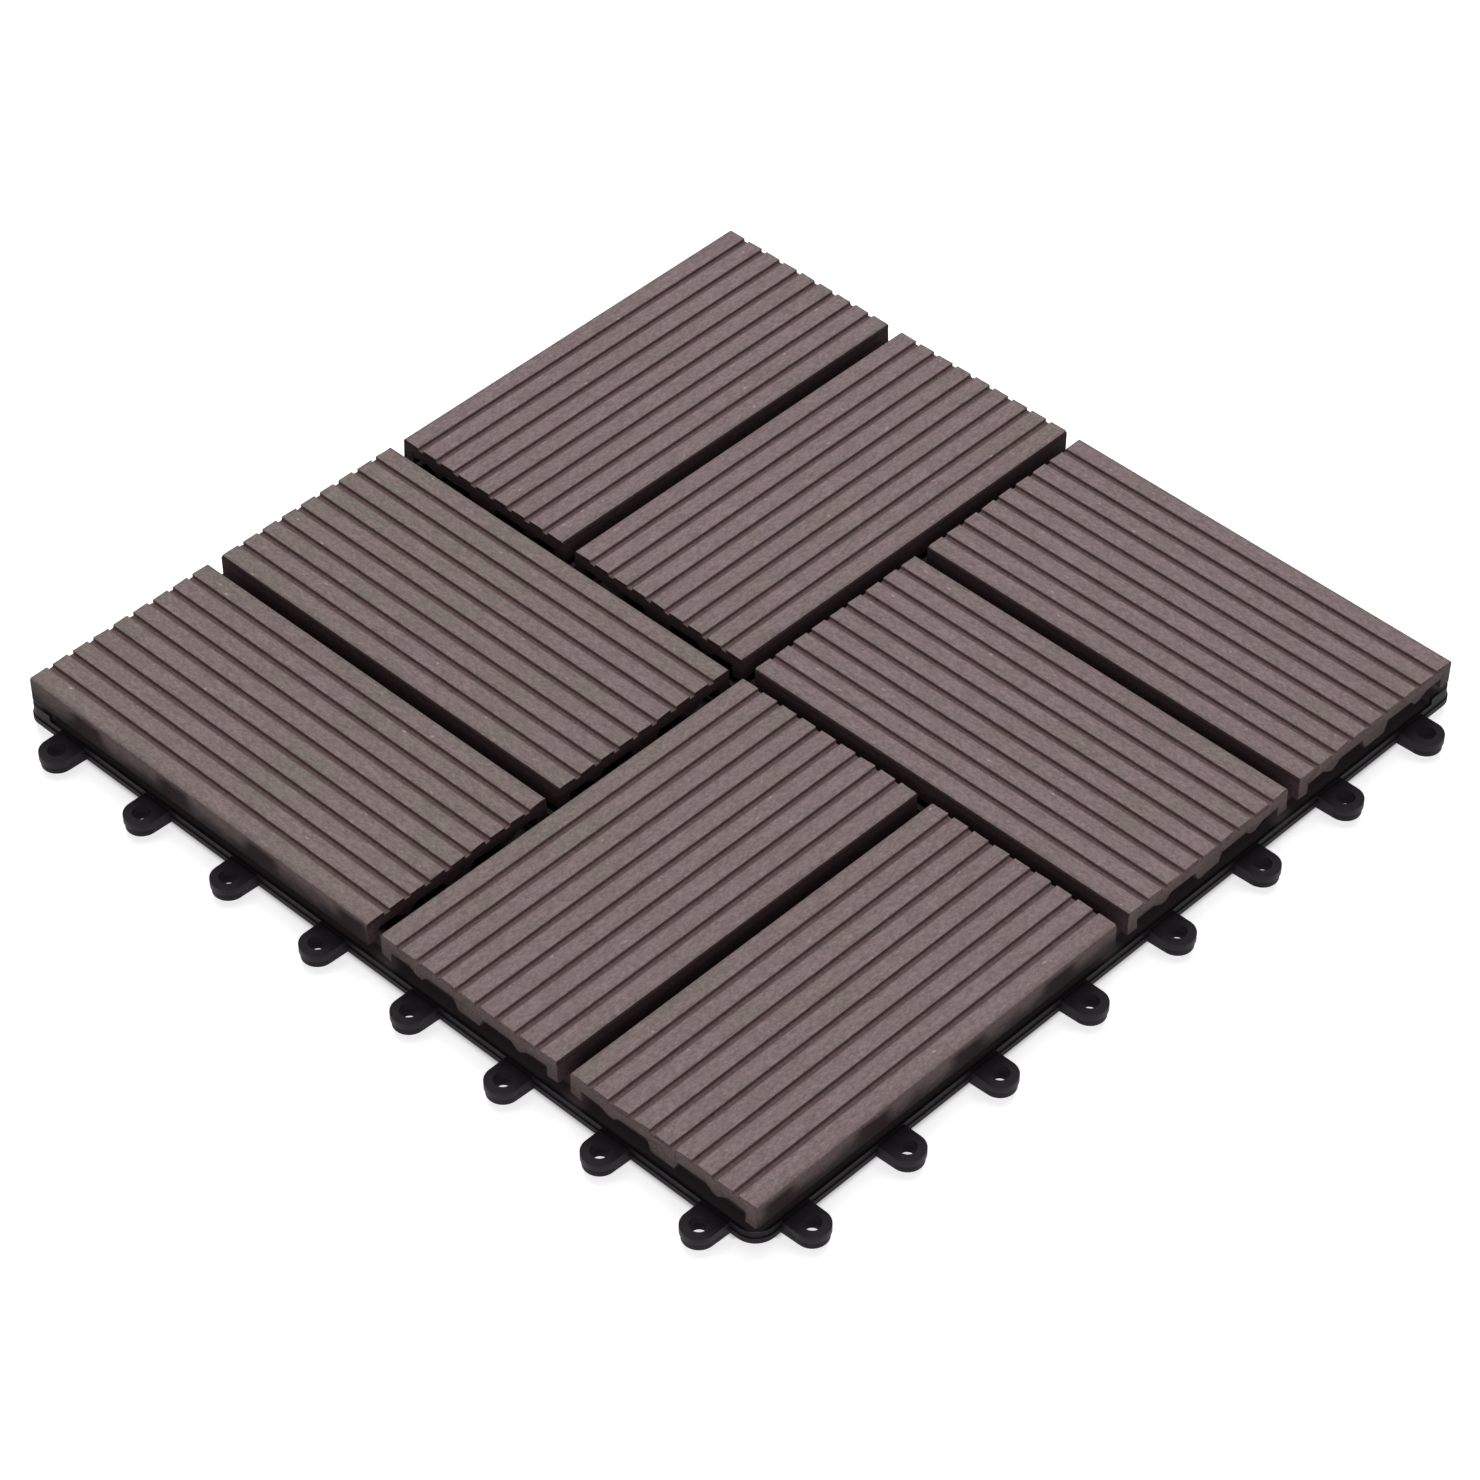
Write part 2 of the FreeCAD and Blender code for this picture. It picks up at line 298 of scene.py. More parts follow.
@dataclass(frozen=True)
class BoardFinish:
    """Wood-plastic composite: brushed on top, dark skin in the grooves, painted shade on the walls
    of the gaps and in soft patches above the loops, sawn ends.
    """

    half_width_mm: float
    half_length_mm: float
    bottom_mm: float
    top_mm: float
    name: str = "brushed_composite"
    mauve: Colour = tone(135, 116, 118)
    olive: Colour = tone(127, 116, 111)
    skin: Colour = tone(104, 84, 83)
    side: Colour = tone(104, 89, 88)
    # Painted shade: the colours of the walls that face into the gaps between boards, at the top and
    # lower down.
    gap_shade_top: Colour = tone(52, 37, 38)
    gap_shade_low: Colour = tone(76, 58, 60)
    sawn: Colour = tone(111, 98, 96)
    # Painted shade: the colour of the loops' shadows on the boards' long sides.
    loop_shadow_tone: Colour = tone(26, 10, 10)
    fleck: Colour = tone(190, 180, 172)
    margin_mm: float = 6.0
    margin_rag_mm: float = 4.0
    groove_pitch_mm: float = 7.8
    rib_edge_mm: float = 1.05
    fuzz_rag_mm: float = 0.7
    fuzz_fade_mm: float = 0.8
    fuzz_depth: float = 0.12
    loop_shadow_share: float = 0.175
    loop_shadow_soft: float = 0.08
    loop_shadow_top_mm: float = 20.5
    loop_shadow_fade_mm: float = 1.3
    side_shade: tuple[float, float] = (7.2, 0.04)
    sawn_shade: tuple[float, float] = (9.0, 0.6)
    shade_rag_mm: float = 1.5
    gap_shade_fade_mm: float = 3.0
    roughness: tuple[float, float] = (0.80, 0.92)
    specular: float = 0.25
    bump_mm: float = 0.2
    bump_strength: float = 0.6

    def margin(self, sheet: Sheet, blotch: Wire) -> Wire:
        """Return 1 along the rim of the board's top, falling to 0 inside it.

        Args:
            sheet: The sheet to draw on.
            blotch: Noise that makes the rim's inner edge uneven.

        Returns:
            The mask.
        """
        local = sheet.attribute("board_place")
        across = sheet.math("ABSOLUTE", sheet.part(local, 0))
        along = sheet.math("ABSOLUTE", sheet.part(local, 1))
        inside = sheet.math("MINIMUM", self.half_width_mm - across, self.half_length_mm - along)
        ragged = inside + blotch.spread(-self.margin_rag_mm, self.margin_rag_mm)
        return 1 - ragged.smooth(0.0, self.margin_mm)

    def fuzz(self, sheet: Sheet, dash: Wire) -> Wire:
        """Return the mask of the worn, uneven rims of the ribs beside each groove.

        Args:
            sheet: The sheet to draw on.
            dash: Noise that makes the rims uneven.

        Returns:
            The mask.
        """
        across = sheet.part(sheet.attribute("board_place"), 0)
        turn = sheet.math("FRACT", across * (1 / self.groove_pitch_mm))
        from_groove = sheet.math("ABSOLUTE", turn - 0.5) * self.groove_pitch_mm
        ragged = from_groove + dash.spread(-self.fuzz_rag_mm, self.fuzz_rag_mm)
        return 1 - ragged.smooth(self.rib_edge_mm, self.rib_edge_mm + self.fuzz_fade_mm)

    def flecks(self, sheet: Sheet) -> Wire:
        """Return the mask of the few light flecks left by the brushing."""
        inputs = {"Vector": sheet.grain((1.0, 0.5, 1.0)), "Scale": 0.3}
        cells = sheet.node("ShaderNodeTexVoronoi", {"feature": "F1"}, inputs, output="Distance")
        few = sheet.noise(sheet.grain(shift=(31.0, 7.0, 2.0)), 4.0, detail=1.0)
        return (1 - cells.smooth(0.06, 0.14)) * few.smooth(0.52, 0.6)

    def painted_loop_shadow(self, sheet: Sheet, blotch: Wire) -> Wire:
        """Return the mask of the painted loop shadows: soft dark patches on the long sides above
        the loops.

        Args:
            sheet: The sheet to draw on.
            blotch: Noise that makes the patches uneven.

        Returns:
            The mask.
        """
        ragged = blotch.smooth(0.3, 0.7)
        aside = sheet.math("ABSOLUTE", sheet.math("FRACT", sheet.mask("loop_turn")) - 0.5)
        aside = aside + ragged.spread(-0.02, 0.02)
        height = sheet.part(sheet.attribute("board_place"), 2) + ragged.spread(-0.5, 0.5)
        low, high = self.loop_shadow_top_mm - self.loop_shadow_fade_mm, self.loop_shadow_top_mm + self.loop_shadow_fade_mm
        near, far = self.loop_shadow_share - self.loop_shadow_soft, self.loop_shadow_share + self.loop_shadow_soft
        patch = (1 - aside.smooth(near, far)) * (1 - height.smooth(low, high))
        return patch * sheet.mask("loop_side")

    def shaded_down(self, sheet: Sheet, blotch: Wire, full_mm: float, least: float) -> Wire:
        """Darken the lower part of the board's sides.

        Args:
            sheet: The sheet to draw on.
            blotch: Noise that makes the limit uneven.
            full_mm: Height above the board's bottom from which nothing is darkened.
            least: The factor at the bottom.

        Returns:
            The factor, up to 1.
        """
        ragged = blotch.smooth(0.3, 0.7).spread(-self.shade_rag_mm, self.shade_rag_mm)
        height = sheet.part(sheet.attribute("board_place"), 2) + ragged
        return height.smooth(self.bottom_mm, self.bottom_mm + full_mm).spread(least, 1.0)

    def brushed(self, sheet: Sheet, blotch: Wire, dash: Wire, cloud: Wire) -> Wire:
        """Return the colour of the brushed ribs, mauve with olive blotches and margins.

        Args:
            sheet: The sheet to draw on.
            blotch: Noise of about 9 mm.
            dash: Short noise along the grain.
            cloud: Noise of about 45 mm.

        Returns:
            The colour.
        """
        patchy = sheet.noise(sheet.grain((1.0, 0.6, 1.0), (70.0, 20.0, 5.0)), 60.0, detail=1.0)
        grey = blotch.smooth(0.42, 0.64) * patchy.smooth(0.4, 0.6).spread(0.4, 0.85)
        grey = grey + self.margin(sheet, blotch) * 0.4
        grey = grey + sheet.mask("weathered") * cloud.smooth(0.35, 0.65).spread(0.6, 1.0)
        ribs = sheet.blend(grey, self.mauve, self.olive)
        ribs = sheet.shade(ribs, 1 - self.fuzz(sheet, dash) * self.fuzz_depth)
        return sheet.blend(self.flecks(sheet) * 0.5, ribs, self.fleck)

    def below_top(self, sheet: Sheet, blotch: Wire) -> Wire:
        """Return the colour of everything that isn't brushed: sides, ends, gaps and grooves.

        Args:
            sheet: The sheet to draw on.
            blotch: Noise of about 9 mm.

        Returns:
            The colour.
        """
        wall = sheet.shade(self.side, self.shaded_down(sheet, blotch, *self.side_shade))
        # Painted shade: soft dark patches on the long sides above the loops stand in for the loops'
        # shadows.
        wall = sheet.blend(self.painted_loop_shadow(sheet, blotch), wall, self.loop_shadow_tone)
        kerf = sheet.noise(sheet.grain((1.0, 1.0, 0.12)), 0.5, detail=3.0, rough=0.7)
        fall = self.shaded_down(sheet, blotch, *self.sawn_shade)
        colour = sheet.blend(
            sheet.mask("sawn"), wall, sheet.shade(self.sawn, kerf.spread(0.75, 1.25) * fall)
        )
        # Painted shade: walls that face into the gaps take darker colours than the outer sides.
        depth = self.top_mm - sheet.part(sheet.attribute("board_place"), 2)
        gap_wall_shade = sheet.blend(depth.smooth(0.0, self.gap_shade_fade_mm), self.gap_shade_top, self.gap_shade_low)
        colour = sheet.blend(sheet.mask("inner"), colour, gap_wall_shade)
        return sheet.blend(sheet.mask("groove"), colour, self.skin)

    def material(self) -> bpy.types.Material:
        """Draw the material's nodes."""
        made = bpy.data.materials.new(self.name)
        sheet = Sheet(made)
        blotch = sheet.noise(sheet.grain((1.0, 0.5, 1.0)), 9.0, detail=4.0, rough=0.6)
        streak = sheet.noise(sheet.grain((1.0, 0.06, 1.0)), 0.8, detail=2.0, rough=0.6)
        short = sheet.grain((1.0, 0.3, 1.0), (9.0, 3.0, 1.0))
        dash = sheet.noise(short, 1.3, detail=3.0, rough=0.7)
        speckle = sheet.noise(sheet.grain((1.0, 0.6, 1.0)), 0.8, detail=3.0, rough=0.75)
        cloud = sheet.noise(sheet.grain((1.0, 0.6, 1.0), (3.0, 50.0, 8.0)), 45.0, detail=2.0)
        ribs = self.brushed(sheet, blotch, dash, cloud)
        colour = sheet.blend(sheet.mask("brushed"), self.below_top(sheet, blotch), ribs)
        light = streak.spread(0.9, 1.1) * dash.smooth(0.3, 0.7).spread(0.92, 1.08)
        light = light * speckle.smooth(0.3, 0.7).spread(0.77, 1.23) * cloud.spread(0.95, 1.05)
        level = streak * 0.35 + dash * 0.35 + speckle * 0.3
        inputs = {
            "Base Color": sheet.shade(colour, light),
            "Roughness": speckle.spread(*self.roughness),
            "Normal": sheet.bump(level, self.bump_mm, self.bump_strength),
            "Specular IOR Level": self.specular,
        }
        sheet.principled(inputs)
        return made


@dataclass(frozen=True)
class BaseFinish:
    """Black moulded polypropylene with a fine grain, with painted light under the rims of the
    boards and painted shade along the flange's lip.
    """

    name: str = "moulded_base"
    black: Colour = tone(31, 26, 31)
    haze: Colour = tone(38, 32, 38)
    # Painted light: the paler colour of the flange under the boards' rims.
    rim_fill_tone: Colour = tone(72, 63, 64)
    roughness: tuple[float, float] = (0.50, 0.66)
    specular: float = 0.15
    haze_mm: float = 9.0
    grain_mm: float = 0.35
    bump_mm: float = 0.03
    bump_strength: float = 0.4
    rim_fill_from_mm: tuple[float, float] = (137.0, 140.5)
    lip_mm: tuple[float, float] = (144.8, 146.0)
    loop_root_mm: tuple[float, float] = (147.0, 147.6)
    loop_top_mm: float = 7.15
    rim_fill_fade_mm: float = 0.2
    # Painted shade: the factor by which the flange's lip is darkened.
    lip_shade: float = 0.4

    def painted_light_and_shade(self, sheet: Sheet, plastic: Wire) -> Wire:
        """Paint light on the flange below the boards and shade along its lip, on the loops' sides.

        Args:
            sheet: The sheet to draw on.
            plastic: Colour of the clean plastic.

        Returns:
            The colour.
        """
        where = sheet.place()
        out = sheet.math("MAXIMUM", sheet.part(where, 0), 0 - sheet.part(where, 1))
        at_lip = out.smooth(*self.lip_mm)
        # Painted light: the flange under the boards' rims is made paler.
        under_rim_fill = out.smooth(*self.rim_fill_from_mm) * (1 - at_lip)
        top = self.loop_top_mm
        under_rim_fill = under_rim_fill * sheet.part(where, 2).smooth(top, top + self.rim_fill_fade_mm)
        # Painted shade: the flange's lip is darkened, fading out at the loops' roots.
        painted_lip_shade = at_lip * (1 - out.smooth(*self.loop_root_mm))
        return sheet.shade(sheet.blend(under_rim_fill, plastic, self.rim_fill_tone), 1 - painted_lip_shade * self.lip_shade)

    def material(self) -> bpy.types.Material:
        """Draw the material's nodes."""
        made = bpy.data.materials.new(self.name)
        sheet = Sheet(made)
        cloud = sheet.noise(sheet.place(), self.haze_mm, detail=3.0)
        grain = sheet.noise(sheet.place(), self.grain_mm, detail=2.0)
        plastic = sheet.blend(cloud.smooth(0.35, 0.7), self.black, self.haze)
        inputs = {
            "Base Color": self.painted_light_and_shade(sheet, plastic),
            "Roughness": grain.spread(*self.roughness),
            "Normal": sheet.bump(grain, self.bump_mm, self.bump_strength),
            "Specular IOR Level": self.specular,
        }
        sheet.principled(inputs)
        return made


@dataclass(frozen=True)
class ScrewFinish:
    """Zinc-plated steel, slightly dull."""

    name: str = "zinc_screw"
    zinc: Colour = tone(176, 176, 172)
    dull: Colour = tone(138, 138, 136)
    roughness: tuple[float, float] = (0.26, 0.44)
    dulled_mm: float = 1.2

    def material(self) -> bpy.types.Material:
        """Draw the material's nodes."""
        made = bpy.data.materials.new(self.name)
        sheet = Sheet(made)
        cloud = sheet.noise(sheet.place(), self.dulled_mm, detail=3.0)
        inputs = {
            "Base Color": sheet.blend(cloud, self.zinc, self.dull),
            "Roughness": cloud.spread(*self.roughness),
            "Metallic": 1.0,
        }
        sheet.principled(inputs)
        return made


@dataclass(frozen=True)
class FloorFinish:
    """Plain white floor that the camera sees as white, save in the tile's own shadow and inside its
    footprint, which is painted darker.
    """

    name: str = "white_floor"
    albedo: float = 0.8
    bounce: float = 0.55
    lift: float = 0.7
    # Painted shade: the floor's colour inside the tile's footprint.
    footprint_shade: Colour = tone(88, 84, 82)
    covered: float = 0.143
    open: float = 0.1465
    corner_cut: float = 0.137

    def material(self) -> bpy.types.Material:
        """Draw the material's nodes."""
        made = bpy.data.materials.new(self.name)
        sheet = Sheet(made)
        where = sheet.node("ShaderNodeTexCoord", {}, {}, output="Object")
        aside = [sheet.math("ABSOLUTE", sheet.part(where, axis)) for axis in (0, 1)]
        out = sheet.math("MAXIMUM", aside[0], aside[1])
        out = sheet.math("MAXIMUM", out, aside[0] + aside[1] - self.corner_cut)
        clear = out.smooth(self.covered, self.open)
        seen_white = (self.albedo, self.albedo, self.albedo, 1.0)
        thrown = (self.bounce, self.bounce, self.bounce, 1.0)
        matt = sheet.node("ShaderNodeBsdfDiffuse", {}, {"Color": seen_white})
        dull = sheet.node("ShaderNodeBsdfDiffuse", {}, {"Color": thrown})
        # Painted shade: inside the tile's footprint the floor takes this dark colour instead of the
        # lifted white.
        footprint_shade_bsdf = sheet.node("ShaderNodeBsdfDiffuse", {}, {"Color": self.footprint_shade})
        glow = sheet.node("ShaderNodeEmission", {}, {"Color": WHITE, "Strength": self.lift})
        lifted = sheet.node("ShaderNodeAddShader", {}, {0: matt, 1: glow})
        near = sheet.node("ShaderNodeMixShader", {}, {0: clear, 1: footprint_shade_bsdf, 2: lifted})
        mirrored = sheet.math("MAXIMUM", sheet.ray("Glossy"), sheet.ray("Transmission"))
        direct = sheet.math("MAXIMUM", sheet.ray("Camera"), mirrored)
        shader = sheet.node("ShaderNodeMixShader", {}, {0: direct, 1: dull, 2: near})
        sheet.add("ShaderNodeOutputMaterial", {}, {"Surface": shader})
        return made


def adopt(name: str, mesh: bpy.types.Mesh, material: bpy.types.Material) -> bpy.types.Object:
    """Make a mesh a piece of the tile.

    Args:
        name: Name of the new object.
        mesh: Its finished mesh, in place.
        material: Its material.

    Returns:
        The new object, riding on the tile's one body.
    """
    piece = bpy.data.objects.new(name, mesh)
    bpy.context.scene.collection.objects.link(piece)
    mesh.materials.clear()
    mesh.materials.append(material)
    even = piece.modifiers.new("even_shading", "WEIGHTED_NORMAL")
    even.keep_sharp = True
    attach(piece, BODY)
    return piece


def solid_copy(node: bpy.types.Object) -> bmesh.types.BMesh:
    """Copy a node of the frame into a bmesh of whole faces.

    Args:
        node: The node's object, whose mesh stays as it is.

    Returns:
        The copy, with its triangles joined at their vertices and flat regions made one face each.
    """
    bm = bmesh.new()
    bm.from_mesh(node.data)
    bmesh.ops.remove_doubles(bm, verts=bm.verts, dist=MERGE)
    bmesh.ops.dissolve_limit(
        bm,
        angle_limit=math.radians(FLAT_DEG),
        verts=bm.verts,
        edges=bm.edges,
        use_dissolve_boundaries=False,
    )
    bmesh.ops.recalc_face_normals(bm, faces=bm.faces)
    return bm


def round_edges(
    bm: bmesh.types.BMesh, width_mm: float, test: Callable[[bmesh.types.BMEdge], bool]
) -> None:
    """Bevel the sharp edges that pass a test.

    Args:
        bm: The bmesh to work on.
        width_mm: Width of the bevel.
        test: Says which sharp edges are rounded.
    """
    limit = math.radians(SHARP_DEG)
    sharp = [e for e in bm.edges if e.is_manifold and e.calc_face_angle(0.0) > limit]
    bmesh.ops.bevel(
        bm,
        geom=[e for e in sharp if test(e)],
        affect="EDGES",
        offset=width_mm * MM,
        offset_type="OFFSET",
        segments=2,
        profile=0.5,
        material=-1,
        clamp_overlap=True,
    )


def closed_mesh(bm: bmesh.types.BMesh, name: str) -> bpy.types.Mesh:
    """Write a bmesh into a new mesh that is smooth except at its sharp edges.

    Args:
        bm: The bmesh, which is freed.
        name: Name of the mesh.

    Returns:
        The mesh.
    """
    mesh = bpy.data.meshes.new(name)
    for face in bm.faces:
        face.smooth = True
    bm.to_mesh(mesh)
    bm.free()
    mesh.set_sharp_from_angle(angle=math.radians(SMOOTH_DEG))
    return mesh


@dataclass
class Boards:
    """The eight composite boards, each a refined copy of its node."""

    nodes: dict[str, bpy.types.Object]
    groove_depth: float = 0.0011
    groove_edge_mm: float = 0.2
    end_edge_mm: float = 0.15
    level_top: float = 0.6
    level_gap: float = 0.85
    end_depth: float = 0.0002
    chip: float = 0.00045
    top_depth: float = 0.0003
    edge_share: float = 0.45
    pattern_shift_mm: float = 900.0
    seed: int = 11
    rim: float = 0.145
    # Shifts of the painted loop shadows from the loops, along the front and the right side.
    loop_pitch: float = 0.0375
    front_shadow_offset: float = 0.0282
    right_shadow_offset: float = 0.0264
    most_weathered: float = 0.5

    def grain_of(self, name: str) -> Grain:
        """Return the direction that a board was extruded in."""
        low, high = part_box(name)
        size = high - low
        return Grain.ALONG_Y if size.y > size.x else Grain.ALONG_X

    def faces_gap(self, centre: Vector, normal: Vector) -> bool:
        """Say whether a face looks into a gap between two boards.

        Args:
            centre: The face's centre.
            normal: The face's normal.

        Returns:
            True for a steep face that doesn't lie on the rim of the whole field of boards.
        """
        outward = centre.x * normal.x + centre.y * normal.y
        return normal.z < self.level_gap and outward < self.rim * normal.xy.length

    def above_loops(self, centre: Vector, normal: Vector, axis: int) -> bool:
        """Say whether a face lies on a board's long side above a row of loops.

        Args:
            centre: The face's centre.
            normal: The face's normal.
            axis: The axis that the board lies along.

        Returns:
            True on the front side and the right side of the tile.
        """
        out = (Side.FRONT if axis == 0 else Side.RIGHT).outward
        return centre.dot(out) > self.rim and normal.dot(out) > 0.7

    def chipped(
        self, bm: bmesh.types.BMesh, axis: int, low: Vector, high: Vector, rng: random.Random
    ) -> None:
        """Make the two sawn ends of a board slightly uneven.

        Args:
            bm: The board's bmesh.
            axis: The axis that the board lies along.
            low: Lowest corner of the board.
            high: Highest corner of the board.
            rng: Source of the unevenness.
        """
        for vert in bm.verts:
            for end, inward in ((low[axis], 1.0), (high[axis], -1.0)):
                if abs(vert.co[axis] - end) < self.end_depth:
                    vert.co[axis] += inward * rng.random() * self.chip

    def mark_places(
        self, bm: bmesh.types.BMesh, axis: int, low: Vector, high: Vector, rng: random.Random
    ) -> None:
        """Write the attributes of the vertices that the finish reads.

        Args:
            bm: The board's bmesh.
            axis: The axis that the board lies along.
            low: Lowest corner of the board.
            high: Highest corner of the board.
            rng: Source of the board's own piece of the pattern.
        """
        place = bm.verts.layers.float_vector.new("board_place")
        grain = bm.verts.layers.float_vector.new("grain_place")
        loop_turn = bm.verts.layers.float.new("loop_turn")
        weathered = bm.verts.layers.float.new("weathered")
        middle = (low + high) / 2
        reach = self.pattern_shift_mm
        shift = Vector((rng.uniform(-reach, reach), rng.uniform(-reach, reach), 0.0))
        for vert in bm.verts:
            x, y, z = vert.co
            from_middle = (vert.co - middle) / MM
            local = Vector((from_middle[1 - axis], from_middle[axis], z / MM))
            vert[place] = local
            vert[grain] = local + shift
            # Place of each vertex along the row of loops, for the painted loop shadows.
            run = x - self.front_shadow_offset if axis == 0 else -y - self.right_shadow_offset
            vert[loop_turn] = run / self.loop_pitch + 0.5
            towards_left = (self.rim - x) / (2 * self.rim)
            vert[weathered] = self.most_weathered * towards_left if y < 0 else 0.0

    def mark_faces(self, bm: bmesh.types.BMesh, axis: int, low: Vector, high: Vector) -> None:
        """Write the attributes of the faces that the finish reads, each 0 or 1.

        Args:
            bm: The board's bmesh.
            axis: The axis that the board lies along.
            low: Lowest corner of the board.
            high: Highest corner of the board.
        """
        names = ("brushed", "sawn", "groove", "inner", "loop_side")
        layers = {name: bm.faces.layers.float.new(name) for name in names}
        middle = (low + high) / 2
        width = (high - low)[1 - axis]
        for face in bm.faces:
            centre = face.calc_center_median()
            depth = high.z - centre.z
            aside = abs(centre[1 - axis] - middle[1 - axis]) / width
            inner = self.faces_gap(centre, face.normal)
            level = face.normal.z > (self.level_gap if inner else self.level_top)
            kinds = {
                "brushed": depth < self.top_depth and level,
                "sawn": abs(face.normal[axis]) > 0.8,
                "groove": depth < 1.3 * self.groove_depth and aside < self.edge_share,
                "inner": inner,
                "loop_side": self.above_loops(centre, face.normal, axis),
            }
            for name, holds in kinds.items():
                face[layers[name]] = float(holds)

    def board(self, name: str, rng: random.Random) -> bpy.types.Mesh:
        """Make the mesh of one board.

        Args:
            name: Name of its node.
            rng: Source of its unevenness.

        Returns:
            The mesh.
        """
        axis = 1 if self.grain_of(name) is Grain.ALONG_Y else 0
        low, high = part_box(name)
        bm = solid_copy(self.nodes[name])

        def lies_along(edge: bmesh.types.BMEdge) -> bool:
            """Say whether an edge runs lengthwise."""
            return abs((edge.verts[0].co - edge.verts[1].co).normalized()[axis]) > 0.9

        round_edges(bm, self.groove_edge_mm, lies_along)
        round_edges(bm, self.end_edge_mm, lambda edge: not lies_along(edge))
        self.chipped(bm, axis, low, high, rng)
        bm.normal_update()
        self.mark_places(bm, axis, low, high, rng)
        self.mark_faces(bm, axis, low, high)
        return closed_mesh(bm, f"{name}_brushed")

    def build(self) -> list[bpy.types.Object]:
        """Build the boards and hide the nodes that they stand for.

        Returns:
            The new objects.
        """
        names = sorted(n for n in self.nodes if n.startswith("board_"))
        low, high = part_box(names[0])
        width, length = sorted((high - low).xy)
        finish = BoardFinish(width / MM / 2, length / MM / 2, low.z / MM, high.z / MM)
        material = finish.material()
        rng = random.Random(self.seed)
        pieces = []
        for name in names:
            mesh = self.board(name, rng)
            piece = adopt(mesh.name, mesh, material)
            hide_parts(name)
            LOG.info("%s, %s, %d faces", name, self.grain_of(name).value, len(mesh.polygons))
            pieces.append(piece)
        return pieces


@dataclass
class Base:
    """The moulded base, a refined copy of its node with its loops in two tiers."""

    nodes: dict[str, bpy.types.Object]
    edge_mm: float = 0.2
    loop_count: int = 8
    loop_pitch: float = 0.0375
    loop_centre: float = 0.1526
    loop_root: float = 0.1475
    hole_radius: float = 0.0028
    hole_reach: float = 0.0002
    tier_height: float = 0.0042
    tier_step: float = 0.0004
    notch: float = 0.00025
    notch_half: float = 0.0004
    hole_draft: float = 0.0001
    hole_taper: float = 0.17

    def from_loop(self, point: Vector, side: Side) -> tuple[Vector, float]:
        """Measure a point from the nearest loop of one side.

        Args:
            point: The point.
            side: The side of the tile.

        Returns:
            The point along the side and outward from the centre of the loop's hole, and the place
            of that centre along the side.
        """
        run = point.dot(side.along)
        station = self.loop_pitch * (math.floor(run / self.loop_pitch) + 0.5)
        return Vector((run - station, point.dot(side.outward) - self.loop_centre)), station

    def cut_tiers(self, bm: bmesh.types.BMesh, side: Side) -> None:
        """Cut the loops of one side at the joint of their two tiers, and just above and below it.

        Args:
            bm: The base's bmesh.
            side: The side of the tile.
        """
        for shift in (self.notch_half, 0.0, -self.notch_half):
            tab = [f for f in bm.faces if f.calc_center_median().dot(side.outward) > self.loop_root]
            edges = dict.fromkeys(e for f in tab for e in f.edges)
            verts = dict.fromkeys(v for f in tab for v in f.verts)
            bmesh.ops.bisect_plane(
                bm,
                geom=[*tab, *edges, *verts],
                dist=PLANE_SNAP,
                plane_co=(0, 0, self.tier_height + shift),
                plane_no=(0, 0, 1),
            )

    def tier_loops(self, bm: bmesh.types.BMesh) -> None:
        """Draw in the lower tier of every loop by the step between its two mould halves.

        Args:
            bm: The base's bmesh.
        """
        last = self.loop_pitch * self.loop_count / 2
        for side in Side:
            self.cut_tiers(bm, side)
            for vert in bm.verts:
                below = self.tier_height - vert.co.z
                arm, station = self.from_loop(vert.co, side)
                on_loop = vert.co.dot(side.outward) >= self.loop_root and abs(station) <= last
                if below < -LEVEL_SNAP or not on_loop:
                    continue
                step = self.hole_draft + self.hole_taper * max(0.0, below)
                if arm.length > self.hole_radius + self.hole_reach:
                    arm.y = max(0.0, arm.y)
                    step = self.tier_step + (self.notch if below < LEVEL_SNAP else 0.0)
                inward = -arm.normalized() * step
                vert.co += side.along * inward.x + side.outward * inward.y

    def at_hole(self, edge: bmesh.types.BMEdge) -> bool:
        """Say whether an edge belongs to the rim of a loop's hole."""
        middle = (edge.verts[0].co + edge.verts[1].co) / 2
        reach = self.hole_radius + self.hole_reach
        return any(self.from_loop(middle, side)[0].length < reach for side in Side)

    def build(self) -> bpy.types.Object:
        """Build the base and hide the node that it stands for.

        Returns:
            The new object.
        """
        bm = solid_copy(self.nodes["base_grid"])
        round_edges(bm, self.edge_mm, lambda edge: not self.at_hole(edge))
        self.tier_loops(bm)
        bm.normal_update()
        mesh = closed_mesh(bm, "base_moulding")
        piece = adopt("base_moulding", mesh, BaseFinish().material())
        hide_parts("base_grid")
        LOG.info("base, %d faces", len(mesh.polygons))
        return piece


